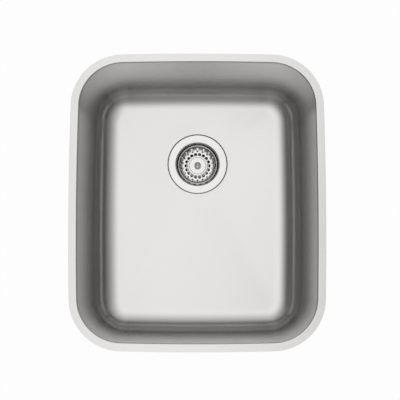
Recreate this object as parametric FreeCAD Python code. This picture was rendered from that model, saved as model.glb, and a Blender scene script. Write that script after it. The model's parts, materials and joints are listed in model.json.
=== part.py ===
"""Undermount kitchen sink: one drawn stainless bowl, its basket strainer and its tailpiece.

Millimetres, +Z up, +Y towards the wall behind the sink. The origin is the middle of the rim's top
face, which is bonded to the underside of a worktop. The strainer hangs in a hole in the bowl's
floor, clamped from below by a locknut, and the basket lifts out of it.
"""
import FreeCAD, Part
import math
import os

# ---------------------------------------------------------------- driving sizes: bowl
RIM_WIDTH = 451.0            # across the rim, left to right
RIM_LENGTH = 525.0           # across the rim, front to back
SIDE_BOW = 7000.0            # the long sides are arcs of this radius
END_BOW = 5200.0             # so are the front and back ends, of this one
SHEET = 1.2                  # 18 gauge stainless sheet
FLANGE_WIDTH = 15.0          # rim edge to where the flange and wall planes cross
LIP_BEND = 3.0               # top bend from flange to wall
WALL_DRAFT = 5.5             # degrees the walls lean in
BOWL_DEPTH = 203.0           # rim face to the lowest floor, beside the drain
FLOOR_FALL = 4.0             # the floor falls this much towards the drain
FLOOR_BEND = 45.0            # large cove between wall and floor
FLOOR_CORNER = 17.0          # corner radius left in the floor where the cove ends
DRAIN_BACK = 91.0            # the drain sits this far behind the bowl's middle
RECESS_DEPTH = 3.0           # the strainer's flange lies in this pressed recess
RECESS_GAP = 1.9             # open ring between the flange's edge and the recess wall
RECESS_SLOPE = 1.0           # how much wider the recess is at its top than at its foot
RECESS_BEND = 1.6
RECESS_LAND = 4.0            # flat ring around the recess where the floor's fall ends

# ---------------------------------------------------------------- driving sizes: strainer body
FLANGE_DIAMETER = 114.3      # 4 1/2 inch strainer flange
BODY_SHEET = 1.2
FLANGE_TURN = 2.2            # its edge is turned down by this much
FLANGE_EDGE_BEND = 2.0
MOUTH_BEND = 4.5
CUP_RADIUS = 40.5            # inside the strainer's cup
CUP_DEPTH = 36.0             # flange top to where the cup's wall and bottom cross
CUP_BEND = 6.0
CONE_FALL = 5.0              # the cup's bottom falls by this much to the outlet
OUTLET_BEND = 2.5
SPIGOT_DEPTH = 66.0          # flange top to the spigot's end
HOLE_CLEARANCE = 2.8         # cup to the edge of the 3 1/2 inch drain hole

# ---------------------------------------------------------------- driving sizes: clamping stack
SEAL_THICKNESS = 1.5         # bedding seal under the strainer's flange
SEAL_WIDTH = 9.0
SEAL_INSET = 0.15            # it stops this far inside the flange's edge bend
GASKET_THICKNESS = 3.0
GASKET_DIAMETER = 114.0
GASKET_OVERHANG = 1.0        # the gasket and fibre ring are this much narrower than the hole
FRICTION_THICKNESS = 0.8
FRICTION_DIAMETER = 112.0
THREAD_CLEARANCE = 0.15
LOCKNUT_DIAMETER = 112.0
LOCKNUT_PLATE = 3.5
LOCKNUT_HEIGHT = 12.0
LOCKNUT_HUB_WALL = 5.5
LOCKNUT_BEND = 1.5
LOCKNUT_EDGE = 1.0
LOCKNUT_LUGS = 8
LUG_WIDTH = 8.0
LUG_SHORT = 2.0              # the lugs stop this far short of the hub's foot
LUG_INSET = 1.0              # and this far inside the plate's edge
LUG_BEND = 2.0

# ---------------------------------------------------------------- driving sizes: basket
BASKET_CLEARANCE = 2.5       # rolled rim to the strainer's cup
BASKET_SHEET = 0.8
BASKET_RIM_TURN = 1.8
BASKET_RIM_WIDTH = 2.1
BASKET_RIM_BEND = 1.0
BASKET_HEIGHT = 19.0         # rim top to the basket's floor
BASKET_TAPER = 1.1           # the wall draws in by this much on its way down
BASKET_BEND = 7.0
SLOTS = 18
SLOT_WIDTH = 3.0
SLOT_INNER = 27.5            # the slots reach in this far across the floor
SLOT_TOP = 7.0               # rim top to the slots' rounded tops
DRAIN_HOLES = 18
HOLE_RADIUS = 2.1
HOLE_CIRCLE = 22.6

# ---------------------------------------------------------------- driving sizes: cap and knob
CAP_RADIUS = 20.0
CAP_EDGE = 1.6               # basket floor to the cap's shoulder
CAP_CROWN = 0.2              # the shoulder rises this much to the step
CAP_STEP_RADIUS = 16.0
CAP_STEP_WIDTH = 0.6
CAP_STEP_HEIGHT = 0.8
CAP_BEND = 0.9
KNOB_FOOT = 1.6              # the knob's heights, from its foot up
KNOB_FLARE = 2.3
KNOB_WAIST = 3.9
KNOB_UNDERCUT = 2.3
KNOB_HEAD = 2.9
KNOB_FOOT_RADIUS = 5.0
KNOB_WAIST_RADIUS = 3.9
KNOB_HEAD_RADIUS = 6.6
KNOB_EDGE = 0.5
KNOB_WAIST_BEND = 2.0
KNOB_HEAD_EDGE = 1.0
KNOB_CROWN = 1.8
KNOB_BORE = 8.0

# ---------------------------------------------------------------- driving sizes: post and stopper
POST_RADIUS = 3.0
POST_TIP = 1.2
POST_TAIL = 3.5              # plain length below the snap ring's groove
BORE_CLEARANCE = 0.1
SPACER_RADIUS = 5.0
SPACER_LENGTH = 7.8
PLATE_RADIUS = 22.0
PLATE_THICKNESS = 0.8
STOPPER_RADIUS = 26.5
STOPPER_THICKNESS = 3.1
STOPPER_LEDGE = 0.7          # the stopper's flat underside reaches this far past the outlet
STOPPER_BEND = 0.8
SEAT_GAP = 0.3               # the rubber at rest just clears its metal seat
WASHER_RADIUS = 12.0
WASHER_THICKNESS = 1.0
POST_NUT_FLATS = 10.0
POST_NUT_HEIGHT = 4.5
POST_NUT_CHAMFER = 0.8
GROOVE_DEPTH = 0.8
GROOVE_CLEARANCE = 0.05      # end play of the ring along its groove
SNAP_RING_RADIUS = 4.1
SNAP_RING_HEIGHT = 3.0
SNAP_RING_BEND = 1.0
SNAP_RING_DROP = 1.5         # the shut ring sits this far under the spider's hub

# ---------------------------------------------------------------- driving sizes: spider
SPIDER_DROP = 2.5            # below the post's nut
SPIDER_THICKNESS = 1.5
SPIDER_RING_WIDTH = 2.2
SPIDER_ARMS = 4
SPIDER_ARM_WIDTH = 4.5
SPIDER_HUB_RADIUS = 7.5
SPIDER_HOLE_CLEARANCE = 0.1
WELD_GAP = 0.05

# ---------------------------------------------------------------- driving sizes: tailpiece
TAIL_DIAMETER = 38.1         # 1 1/2 inch slip-joint tube
TAIL_WALL = 0.9
TAIL_LENGTH = 101.6
TAIL_FLANGE_WIDTH = 3.35
TAIL_FLANGE_BEND = 1.9
TAIL_FLANGE_CLEARANCE = 0.6  # flange edge to the nut's thread
TAIL_WASHER_THICKNESS = 2.0
TAIL_WASHER_CLEARANCE = 0.2
NUT_WALL = 3.85              # thread to the flats
NUT_ABOVE = 11.0             # thread engaged on the spigot
NUT_LIP = 2.2
NUT_THROAT_CLEARANCE = 0.95  # the nut slides freely along the tube
NUT_RELIEF = 0.6             # chamfer inside the lip that clears the flange's bend
NUT_CHAMFER = 1.6
NUT_SKIRT = 1.5
NUT_SKIRT_INSET = 0.5

# ---------------------------------------------------------------- driving sizes: damping pads
PAD_THICKNESS = 3.0
PAD_FILM = 0.2               # adhesive between pad and sheet
PAD_CORNER = 12.0
PAD_TOP = 48.0               # rim face to the wall pads' upper edge
PAD_COVE_GAP = 25.0          # wall pads' lower edge to where the cove begins
SIDE_PAD_LENGTH = 220.0
END_PAD_LENGTH = 170.0
FLOOR_PAD_WIDTH = 210.0
FLOOR_PAD_LENGTH = 150.0
FLOOR_PAD_GAP = 26.0         # floor pad to the land round the drain

# ---------------------------------------------------------------- sizes that follow: bowl
UP = FreeCAD.Vector(0, 0, 1)
DRAIN_AXIS = FreeCAD.Vector(0, DRAIN_BACK, 0)
WALL_SLOPE = math.tan(math.radians(WALL_DRAFT))
WALL_TILT = math.cos(math.radians(WALL_DRAFT))
COVE_REACH = FLOOR_BEND * math.tan(math.radians(90 - WALL_DRAFT) / 2)
FLOOR_EDGE_Z = FLOOR_FALL - BOWL_DEPTH         # floor where the cove ends
FLOOR_LOW_Z = -BOWL_DEPTH
COVE_TOP_Z = FLOOR_EDGE_Z + COVE_REACH * WALL_TILT
FLOOR_INSET = FLANGE_WIDTH - FLOOR_EDGE_Z * WALL_SLOPE + COVE_REACH
RIM_CORNER = FLOOR_CORNER + FLOOR_INSET
SEAT_Z = FLOOR_LOW_Z - RECESS_DEPTH            # upper face of the recess
RECESS_FOOT = FLANGE_DIAMETER / 2 + RECESS_GAP
RECESS_TOP = RECESS_FOOT + RECESS_SLOPE
LAND_RADIUS = RECESS_TOP + RECESS_LAND

# ---------------------------------------------------------------- sizes that follow: strainer
TAIL_RADIUS = TAIL_DIAMETER / 2
TAIL_FLANGE_RADIUS = TAIL_RADIUS + TAIL_FLANGE_WIDTH
SPIGOT_RADIUS = TAIL_FLANGE_RADIUS + TAIL_FLANGE_CLEARANCE
OUTLET_RADIUS = SPIGOT_RADIUS - BODY_SHEET
FLANGE_Z = SEAT_Z + SEAL_THICKNESS + BODY_SHEET
SPIGOT_Z = FLANGE_Z - SPIGOT_DEPTH
BODY_RADIUS = CUP_RADIUS + BODY_SHEET          # outside the cup, where the thread is rolled
HOLE_EDGE = BODY_RADIUS + HOLE_CLEARANCE       # the drain hole's radius
GASKET_Z = SEAT_Z - SHEET                      # underside of the recess
FRICTION_Z = GASKET_Z - GASKET_THICKNESS
LOCKNUT_Z = FRICTION_Z - FRICTION_THICKNESS
TAIL_FLANGE_Z = SPIGOT_Z - TAIL_WASHER_THICKNESS
NUT_LIP_Z = TAIL_FLANGE_Z - TAIL_WALL


def cone_height(radius):
    """The height of the cup's sloping bottom at a radius: the stopper's seat."""
    share = (CUP_RADIUS - radius) / (CUP_RADIUS - OUTLET_RADIUS)
    return FLANGE_Z - CUP_DEPTH - CONE_FALL * share


# ---------------------------------------------------------------- sizes that follow: basket
STOPPER_FLAT = OUTLET_RADIUS + STOPPER_LEDGE
WASHER_Z = cone_height(STOPPER_FLAT) + SEAT_GAP
STOPPER_Z = WASHER_Z + STOPPER_THICKNESS
SPACER_Z = STOPPER_Z + PLATE_THICKNESS
BASKET_FLOOR_Z = SPACER_Z + SPACER_LENGTH + BASKET_SHEET
BASKET_RIM_Z = BASKET_FLOOR_Z + BASKET_HEIGHT
BASKET_RADIUS = CUP_RADIUS - BASKET_CLEARANCE
CAP_SHOULDER_Z = BASKET_FLOOR_Z + CAP_EDGE
CAP_Z = CAP_SHOULDER_Z + CAP_CROWN + CAP_STEP_HEIGHT
POST_HOLE = POST_RADIUS + BORE_CLEARANCE
POST_TOP_Z = CAP_Z + KNOB_BORE - BORE_CLEARANCE
POST_NUT_TOP_Z = WASHER_Z - WASHER_THICKNESS
POST_NUT_Z = POST_NUT_TOP_Z - POST_NUT_HEIGHT
SPIDER_Z = POST_NUT_Z - SPIDER_DROP
SPIDER_FOOT_Z = SPIDER_Z - SPIDER_THICKNESS
SPIDER_HOLE = SNAP_RING_RADIUS + SPIDER_HOLE_CLEARANCE
SNAP_RING_Z = SPIDER_FOOT_Z - SNAP_RING_DROP
SNAP_RING_FOOT_Z = SNAP_RING_Z - SNAP_RING_HEIGHT
GROOVE_RADIUS = POST_RADIUS - GROOVE_DEPTH


# ---------------------------------------------------------------- outlines and sections
def point(radius, height):
    """A point of a section: the plane holds the axis, x is the radius and z the height."""
    return FreeCAD.Vector(radius, 0, height)


def straight_run(start, end):
    """The line between two points, or nothing where a bend has used up the whole run."""
    return [Part.makeLine(start, end)] if start.distanceToPoint(end) > 1e-6 else []


def bent_path(corners):
    """Straight runs through corners (radius, height, bend), each corner rounded by its bend."""
    places = [point(c[0], c[1]) for c in corners]
    bends = [c[2] if len(c) > 2 else 0 for c in corners]
    edges = []
    start = places[0]
    for before, here, after, bend in zip(places, places[1:], places[2:], bends[1:]):
        arrive = (here - before).normalize()
        leave = (after - here).normalize()
        if bend == 0:
            edges += straight_run(start, here)
            start = here
            continue
        half_turn = arrive.getAngle(leave) / 2
        cut = bend * math.tan(half_turn)
        first = here - arrive * cut
        last = here + leave * cut
        inward = (leave - arrive).normalize()
        middle = here + inward * (bend / math.cos(half_turn) - bend)
        edges += straight_run(start, first) + [Part.Arc(first, middle, last).toShape()]
        start = last
    return edges + straight_run(start, places[-1])


def sheet_section(corners, thickness):
    """The section of a bent sheet: its upper face follows the corners, its body lies to the left."""
    return Part.Wire(bent_path(corners)).makeOffset2D(thickness, 0, True, True)


def solid_section(corners):
    """A closed section with the given corners, rounded where a bend is given."""
    return Part.Face(Part.Wire(bent_path(corners + [corners[0]])))


def around_drain(section):
    """The section turned once round the drain's axis."""
    turned = section.revolve(FreeCAD.Vector(), UP, 360)
    turned.translate(DRAIN_AXIS)
    return turned


def ring(inner, outer, low, high):
    """A flat ring round the drain's axis."""
    return around_drain(solid_section([(inner, low), (outer, low), (outer, high), (inner, high)]))


def drum(radius, low, high, off_axis=0.0):
    """An upright cylinder between two heights, on the drain's axis or to the right of it."""
    return Part.makeCylinder(radius, high - low, FreeCAD.Vector(off_axis, DRAIN_BACK, low), UP)


def bar(inner, outer, width, low, high):
    """A radial bar that runs out to the right from the drain's axis."""
    corner = FreeCAD.Vector(inner, DRAIN_BACK - width / 2, low)
    return Part.makeBox(outer - inner, width, high - low, corner)


def on_circle(centre, radius, angle, height):
    """A point of a level circle, by its angle in degrees."""
    turn = math.radians(angle)
    return FreeCAD.Vector(centre.x + radius * math.cos(turn),
                          centre.y + radius * math.sin(turn), height)


def level_arc(centre, radius, first, sweep, height):
    """A level arc from its first angle through its sweep."""
    stops = [on_circle(centre, radius, first + sweep * share, height) for share in (0, 0.5, 1)]
    return Part.Arc(*stops).toShape()


def hexagon(flats, low, high):
    """A hexagonal prism on the drain's axis."""
    corners = [on_circle(DRAIN_AXIS, flats / math.sqrt(3), 60 * k, low) for k in range(7)]
    return Part.Face(Part.makePolygon(corners)).extrude(UP * (high - low))


def repeated(shape, count, first_angle=0.0):
    """Copies of a shape spaced evenly round the drain's axis."""
    copies = []
    for k in range(count):
        copy = shape.copy()
        copy.rotate(DRAIN_AXIS, UP, first_angle + 360.0 * k / count)
        copies.append(copy)
    return copies


# ---------------------------------------------------------------- the rim's outline: eight arcs
def corner_centre():
    """Centre of the back right corner arc, tangent inside the side arc and the end arc."""
    side_x = RIM_WIDTH / 2 - SIDE_BOW
    end_y = RIM_LENGTH / 2 - END_BOW
    side_reach = SIDE_BOW - RIM_CORNER
    end_reach = END_BOW - RIM_CORNER
    span = math.hypot(side_x, end_y)
    along = (side_reach ** 2 - end_reach ** 2 + span ** 2) / (2 * span)
    across = math.sqrt(side_reach ** 2 - along ** 2)
    unit_x, unit_y = -side_x / span, end_y / span
    return (side_x + unit_x * along - unit_y * across,
            unit_y * along + unit_x * across)


def rim_arcs():
    """The outline's arcs, anticlockwise from the right side: (centre, radius, first angle, sweep)."""
    corner_x, corner_y = corner_centre()
    side_x = SIDE_BOW - RIM_WIDTH / 2
    end_y = END_BOW - RIM_LENGTH / 2
    side_turn = math.degrees(math.atan2(corner_y, corner_x + side_x))
    end_turn = math.degrees(math.atan2(corner_x, corner_y + end_y))
    corner_turn = 90 - side_turn - end_turn
    return [
        (FreeCAD.Vector(-side_x, 0, 0), SIDE_BOW, -side_turn, 2 * side_turn),
        (FreeCAD.Vector(corner_x, corner_y, 0), RIM_CORNER, side_turn, corner_turn),
        (FreeCAD.Vector(0, -end_y, 0), END_BOW, 90 - end_turn, 2 * end_turn),
        (FreeCAD.Vector(-corner_x, corner_y, 0), RIM_CORNER, 90 + end_turn, corner_turn),
        (FreeCAD.Vector(side_x, 0, 0), SIDE_BOW, 180 - side_turn, 2 * side_turn),
        (FreeCAD.Vector(-corner_x, -corner_y, 0), RIM_CORNER, 180 + side_turn, corner_turn),
        (FreeCAD.Vector(0, end_y, 0), END_BOW, 270 - end_turn, 2 * end_turn),
        (FreeCAD.Vector(corner_x, -corner_y, 0), RIM_CORNER, 270 + end_turn, corner_turn),
    ]


def rim_outline(inset, height):
    """The rim's outline, drawn in by an inset, at a height."""
    return Part.Wire([level_arc(centre, radius - inset, first, sweep, height)
                      for centre, radius, first, sweep in rim_arcs()])


def along_arc(section, arc):
    """A section whose x is measured from an arc's centre, swept along that arc of the outline."""
    centre, _, first, sweep = arc
    placed = section.copy()
    placed.rotate(FreeCAD.Vector(), UP, first)
    placed.translate(centre)
    return placed.revolve(centre, UP, sweep)


# ---------------------------------------------------------------- the bowl
def wall_inset(height):
    """How far inside the rim's edge the wall's inner face is, at a height."""
    return FLANGE_WIDTH - height * WALL_SLOPE


def floor_void():
    """The space between the cove's end and the sloping floor: the floor is its lower skin."""
    edge = rim_outline(FLOOR_INSET, FLOOR_EDGE_Z)
    stops = [vertex.Point for vertex in edge.OrderedVertexes]
    angles = [math.degrees(math.atan2(p.y - DRAIN_BACK, p.x)) for p in stops]
    sweeps = [(after - here) % 360 for here, after in zip(angles, angles[1:] + angles[:1])]
    land = Part.Wire([level_arc(DRAIN_AXIS, LAND_RADIUS, here, sweep, FLOOR_LOW_Z)
                      for here, sweep in zip(angles, sweeps)])
    return Part.makeLoft([edge, land], True, True)


def sloping_floor():
    """The bowl's floor out to the cove, falling to a level land round the drain."""
    void = floor_void()
    lower = void.copy()
    lower.translate(UP * -SHEET)
    border = Part.Face(rim_outline(FLOOR_INSET, FLOOR_EDGE_Z - SHEET)).extrude(UP * SHEET)
    land = drum(LAND_RADIUS, FLOOR_LOW_Z - 2 * SHEET, FLOOR_LOW_Z + SHEET)
    return lower.fuse(border).cut([void, land])


def drain_recess():
    """The level land, the pressed recess and the drain hole."""
    return around_drain(sheet_section([
        (LAND_RADIUS, FLOOR_LOW_Z),
        (RECESS_TOP, FLOOR_LOW_Z, RECESS_BEND),
        (RECESS_FOOT, SEAT_Z, RECESS_BEND),
        (HOLE_EDGE, SEAT_Z),
    ], SHEET))


def wall_sector(arc):
    """Flange, lip, leaning wall and cove along one arc of the rim."""
    edge = arc[1]
    return along_arc(sheet_section([
        (edge, 0),
        (edge - wall_inset(0), 0, LIP_BEND),
        (edge - wall_inset(FLOOR_EDGE_Z), FLOOR_EDGE_Z, FLOOR_BEND),
        (edge - FLOOR_INSET, FLOOR_EDGE_Z),
    ], SHEET), arc)


def bowl():
    """The drawn bowl: eight wall sectors, the falling floor and the pressed recess, in one sheet."""
    sectors = [wall_sector(arc) for arc in rim_arcs()]
    return sectors[0].multiFuse(sectors[1:] + [sloping_floor(), drain_recess()]).removeSplitter()


# ---------------------------------------------------------------- damping pads
def wall_pad(arc, length):
    """A rubber pad stuck to the outside of one wall, with rounded corners."""
    centre, edge, first, sweep = arc
    high = -PAD_TOP
    low = COVE_TOP_Z + PAD_COVE_GAP
    near = (SHEET + PAD_FILM) / WALL_TILT
    far = near + PAD_THICKNESS / WALL_TILT
    section = solid_section([
        (edge - wall_inset(high) + near, high),
        (edge - wall_inset(low) + near, low),
        (edge - wall_inset(low) + far, low),
        (edge - wall_inset(high) + far, high),
    ])
    turn = math.degrees(length / edge)
    pad = along_arc(section, (centre, edge, first + sweep / 2 - turn / 2, turn))
    corners = [e for e in pad.Edges if e.Length < 2 * PAD_THICKNESS]
    return pad.makeFillet(PAD_CORNER, corners)


def floor_pad():
    """A rubber pad under the floor, ahead of the drain, following the floor's fall."""
    back = DRAIN_BACK - LAND_RADIUS - FLOOR_PAD_GAP
    low = FLOOR_LOW_Z - 2 * (SHEET + PAD_FILM + PAD_THICKNESS)
    corner = FreeCAD.Vector(-FLOOR_PAD_WIDTH / 2, back - FLOOR_PAD_LENGTH, low)
    blank = Part.makeBox(FLOOR_PAD_WIDTH, FLOOR_PAD_LENGTH, FLOOR_EDGE_Z - low, corner)
    upright = [e for e in blank.Edges if abs(e.tangentAt(0).z) > 0.5]
    top = floor_void()
    foot = top.copy()
    top.translate(UP * -(SHEET + PAD_FILM))
    foot.translate(UP * -(SHEET + PAD_FILM + PAD_THICKNESS))
    return blank.makeFillet(PAD_CORNER, upright).common(foot).cut(top)


# ---------------------------------------------------------------- strainer body and its clamping
def strainer_body():
    """Pressed flange, cup, conical bottom and threaded spigot in one sheet."""
    edge = FLANGE_DIAMETER / 2
    return around_drain(sheet_section([
        (edge, FLANGE_Z - FLANGE_TURN),
        (edge, FLANGE_Z, FLANGE_EDGE_BEND),
        (CUP_RADIUS, FLANGE_Z, MOUTH_BEND),
        (CUP_RADIUS, cone_height(CUP_RADIUS), CUP_BEND),
        (OUTLET_RADIUS, cone_height(OUTLET_RADIUS), OUTLET_BEND),
        (OUTLET_RADIUS, SPIGOT_Z),
    ], BODY_SHEET))


def flange_seal():
    """Bedding ring between the recess and the strainer's flange."""
    outer = FLANGE_DIAMETER / 2 - FLANGE_EDGE_BEND - SEAL_INSET
    return ring(outer - SEAL_WIDTH, outer, SEAT_Z, SEAT_Z + SEAL_THICKNESS)


def floor_gasket():
    """Rubber gasket pressed up against the recess."""
    return ring(HOLE_EDGE - GASKET_OVERHANG, GASKET_DIAMETER / 2, FRICTION_Z, GASKET_Z)


def friction_ring():
    """Fibre ring that lets the locknut turn without dragging the rubber."""
    return ring(HOLE_EDGE - GASKET_OVERHANG, FRICTION_DIAMETER / 2, LOCKNUT_Z, FRICTION_Z)


def locknut():
    """Cast nut on the cup's rolled thread: a plate, a hub and spanner lugs."""
    bore = BODY_RADIUS + THREAD_CLEARANCE
    hub = bore + LOCKNUT_HUB_WALL
    edge = LOCKNUT_DIAMETER / 2
    foot = LOCKNUT_Z - LOCKNUT_HEIGHT
    body = around_drain(solid_section([
        (bore, foot),
        (hub, foot, LOCKNUT_EDGE),
        (hub, LOCKNUT_Z - LOCKNUT_PLATE, LOCKNUT_BEND),
        (edge, LOCKNUT_Z - LOCKNUT_PLATE, LOCKNUT_EDGE),
        (edge, LOCKNUT_Z),
        (bore, LOCKNUT_Z),
    ]))
    lug = bar(hub - LOCKNUT_EDGE, edge - LUG_INSET, LUG_WIDTH,
              foot + LUG_SHORT, LOCKNUT_Z - LOCKNUT_EDGE)
    outer_edges = [e for e in lug.Edges
                   if abs(e.tangentAt(0).z) > 0.5 and e.CenterOfMass.x > hub]
    lug = lug.makeFillet(LUG_BEND, outer_edges)
    return body.multiFuse(repeated(lug, LOCKNUT_LUGS)).removeSplitter()


# ---------------------------------------------------------------- basket
def slot_cutter():
    """One slot of the basket: open to the wall, round at its top and at its inner end."""
    half = SLOT_WIDTH / 2
    low = BASKET_FLOOR_Z - 2 * BASKET_SHEET
    top = BASKET_RIM_Z - SLOT_TOP - half
    end = SLOT_INNER + half
    arch = Part.makeCylinder(half, BASKET_RADIUS - end,
                             FreeCAD.Vector(end, DRAIN_BACK, top), FreeCAD.Vector(1, 0, 0))
    cut = bar(end, BASKET_RADIUS, SLOT_WIDTH, low, top)
    return cut.multiFuse([arch, drum(half, low, top, end)])


def basket_cup():
    """Pressed basket: rolled rim, slotted wall and corner, and a ring of holes in its floor."""
    wall = BASKET_RADIUS - BASKET_RIM_WIDTH
    cup = around_drain(sheet_section([
        (BASKET_RADIUS, BASKET_RIM_Z - BASKET_RIM_TURN),
        (BASKET_RADIUS, BASKET_RIM_Z, BASKET_RIM_BEND),
        (wall, BASKET_RIM_Z, BASKET_RIM_BEND),
        (wall - BASKET_TAPER, BASKET_FLOOR_Z, BASKET_BEND),
        (POST_HOLE, BASKET_FLOOR_Z),
    ], BASKET_SHEET))
    hole = drum(HOLE_RADIUS, BASKET_FLOOR_Z - 2 * BASKET_SHEET, BASKET_FLOOR_Z + BASKET_SHEET,
                HOLE_CIRCLE)
    slots = repeated(slot_cutter(), SLOTS, 90)
    holes = repeated(hole, DRAIN_HOLES, 90 + 180.0 / DRAIN_HOLES)
    return cup.cut(slots + holes)


def basket_cap():
    """Pressed disc over the basket's middle, with a fine step near its edge."""
    return around_drain(sheet_section([
        (CAP_RADIUS, BASKET_FLOOR_Z),
        (CAP_RADIUS, CAP_SHOULDER_Z, CAP_BEND),
        (CAP_STEP_RADIUS + CAP_STEP_WIDTH, CAP_SHOULDER_Z + CAP_CROWN),
        (CAP_STEP_RADIUS, CAP_Z, CAP_BEND),
        (POST_HOLE, CAP_Z),
    ], BASKET_SHEET))


def basket_knob():
    """Turned mushroom knob screwed on the post's upper end."""
    flare = CAP_Z + KNOB_FOOT
    waist = flare + KNOB_FLARE
    undercut = waist + KNOB_WAIST
    head = undercut + KNOB_UNDERCUT
    top = head + KNOB_HEAD
    return around_drain(solid_section([
        (POST_HOLE, CAP_Z),
        (KNOB_FOOT_RADIUS, CAP_Z, KNOB_EDGE),
        (KNOB_FOOT_RADIUS, flare, KNOB_EDGE),
        (KNOB_WAIST_RADIUS, waist, KNOB_WAIST_BEND),
        (KNOB_WAIST_RADIUS, undercut, KNOB_WAIST_BEND),
        (KNOB_HEAD_RADIUS, head, KNOB_HEAD_EDGE),
        (KNOB_HEAD_RADIUS, top, KNOB_CROWN),
        (0, top),
        (0, CAP_Z + KNOB_BORE),
        (POST_HOLE, CAP_Z + KNOB_BORE),
    ]))


def basket_post():
    """The stem that carries the knob, the cap, the basket and the stopper."""
    groove_high = SNAP_RING_Z + GROOVE_CLEARANCE
    groove_low = SNAP_RING_FOOT_Z - GROOVE_CLEARANCE
    tip = groove_low - POST_TAIL
    return around_drain(solid_section([
        (0, tip),
        (POST_RADIUS, tip, POST_TIP),
        (POST_RADIUS, groove_low),
        (GROOVE_RADIUS, groove_low),
        (GROOVE_RADIUS, groove_high),
        (POST_RADIUS, groove_high),
        (POST_RADIUS, POST_TOP_Z),
        (0, POST_TOP_Z),
    ]))


def post_spacer():
    """Sleeve that holds the basket's floor above the stopper."""
    return ring(POST_HOLE, SPACER_RADIUS, SPACER_Z, SPACER_Z + SPACER_LENGTH)


def stopper_plate():
    """Steel disc that backs the rubber stopper."""
    return ring(POST_HOLE, PLATE_RADIUS, STOPPER_Z, SPACER_Z)


def stopper_seal():
    """Rubber stopper whose bevelled edge shuts on the cup's sloping bottom."""
    return around_drain(solid_section([
        (POST_HOLE, WASHER_Z),
        (STOPPER_FLAT, WASHER_Z),
        (STOPPER_RADIUS, cone_height(STOPPER_RADIUS) + SEAT_GAP),
        (STOPPER_RADIUS, STOPPER_Z, STOPPER_BEND),
        (POST_HOLE, STOPPER_Z),
    ]))


def stopper_washer():
    """Steel washer under the rubber."""
    return ring(POST_HOLE, WASHER_RADIUS, POST_NUT_TOP_Z, WASHER_Z)


def post_nut():
    """Hexagonal nut that clamps the stack on the post."""
    corner = POST_NUT_FLATS / math.sqrt(3)
    turned = around_drain(solid_section([
        (POST_HOLE, POST_NUT_Z),
        (corner - POST_NUT_CHAMFER, POST_NUT_Z),
        (corner, POST_NUT_Z + POST_NUT_CHAMFER / 2),
        (corner, POST_NUT_TOP_Z),
        (POST_HOLE, POST_NUT_TOP_Z),
    ]))
    return hexagon(POST_NUT_FLATS, POST_NUT_Z, POST_NUT_TOP_Z).common(turned)


def snap_ring():
    """Rubber ring in the post's groove that grips the spider's hub when the basket is pushed down."""
    inner = GROOVE_RADIUS + BORE_CLEARANCE
    return around_drain(solid_section([
        (inner, SNAP_RING_FOOT_Z),
        (SNAP_RING_RADIUS, SNAP_RING_FOOT_Z, SNAP_RING_BEND),
        (SNAP_RING_RADIUS, SNAP_RING_Z, SNAP_RING_BEND),
        (inner, SNAP_RING_Z),
    ]))


def outlet_spider():
    """Welded cross in the outlet: ring, arms and a hub whose hole takes the post."""
    outer = OUTLET_RADIUS - WELD_GAP
    inner = outer - SPIDER_RING_WIDTH
    hub = drum(SPIDER_HUB_RADIUS, SPIDER_FOOT_Z, SPIDER_Z)
    arm = bar(0, inner + SPIDER_RING_WIDTH / 2, SPIDER_ARM_WIDTH, SPIDER_FOOT_Z, SPIDER_Z)
    cross = ring(inner, outer, SPIDER_FOOT_Z, SPIDER_Z).multiFuse(
        [hub] + repeated(arm, SPIDER_ARMS, 45))
    return cross.cut(drum(SPIDER_HOLE, SPIDER_FOOT_Z, SPIDER_Z)).removeSplitter()


# ---------------------------------------------------------------- tailpiece
def tailpiece():
    """Slip-joint tube, flanged at its top."""
    bore = TAIL_RADIUS - TAIL_WALL
    return around_drain(sheet_section([
        (TAIL_FLANGE_RADIUS, TAIL_FLANGE_Z),
        (bore, TAIL_FLANGE_Z, TAIL_FLANGE_BEND),
        (bore, TAIL_FLANGE_Z - TAIL_LENGTH),
    ], TAIL_WALL))


def tailpiece_washer():
    """Soft washer between the spigot's end and the tailpiece's flange."""
    return ring(TAIL_RADIUS - TAIL_WALL, SPIGOT_RADIUS - TAIL_WASHER_CLEARANCE,
                TAIL_FLANGE_Z, SPIGOT_Z)


def coupling_nut():
    """Hexagonal slip nut: its thread is on the spigot and its lip lifts the tailpiece's flange."""
    thread = SPIGOT_RADIUS + THREAD_CLEARANCE
    flats = 2 * (thread + NUT_WALL)
    corner = flats / math.sqrt(3)
    skirt = flats / 2 - NUT_SKIRT_INSET
    throat = TAIL_RADIUS + NUT_THROAT_CLEARANCE
    high = SPIGOT_Z + NUT_ABOVE
    low = NUT_LIP_Z - NUT_LIP
    turned = around_drain(solid_section([
        (throat, low),
        (skirt, low),
        (skirt, low + NUT_SKIRT),
        (corner - NUT_CHAMFER, low + NUT_SKIRT),
        (corner, low + NUT_SKIRT + NUT_CHAMFER / 2),
        (corner, high - NUT_CHAMFER / 2),
        (corner - NUT_CHAMFER, high),
        (thread, high),
        (thread, NUT_LIP_Z),
        (throat + NUT_RELIEF, NUT_LIP_Z),
        (throat, NUT_LIP_Z - NUT_RELIEF / 2),
    ]))
    return hexagon(flats, low, high).common(turned)


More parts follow.
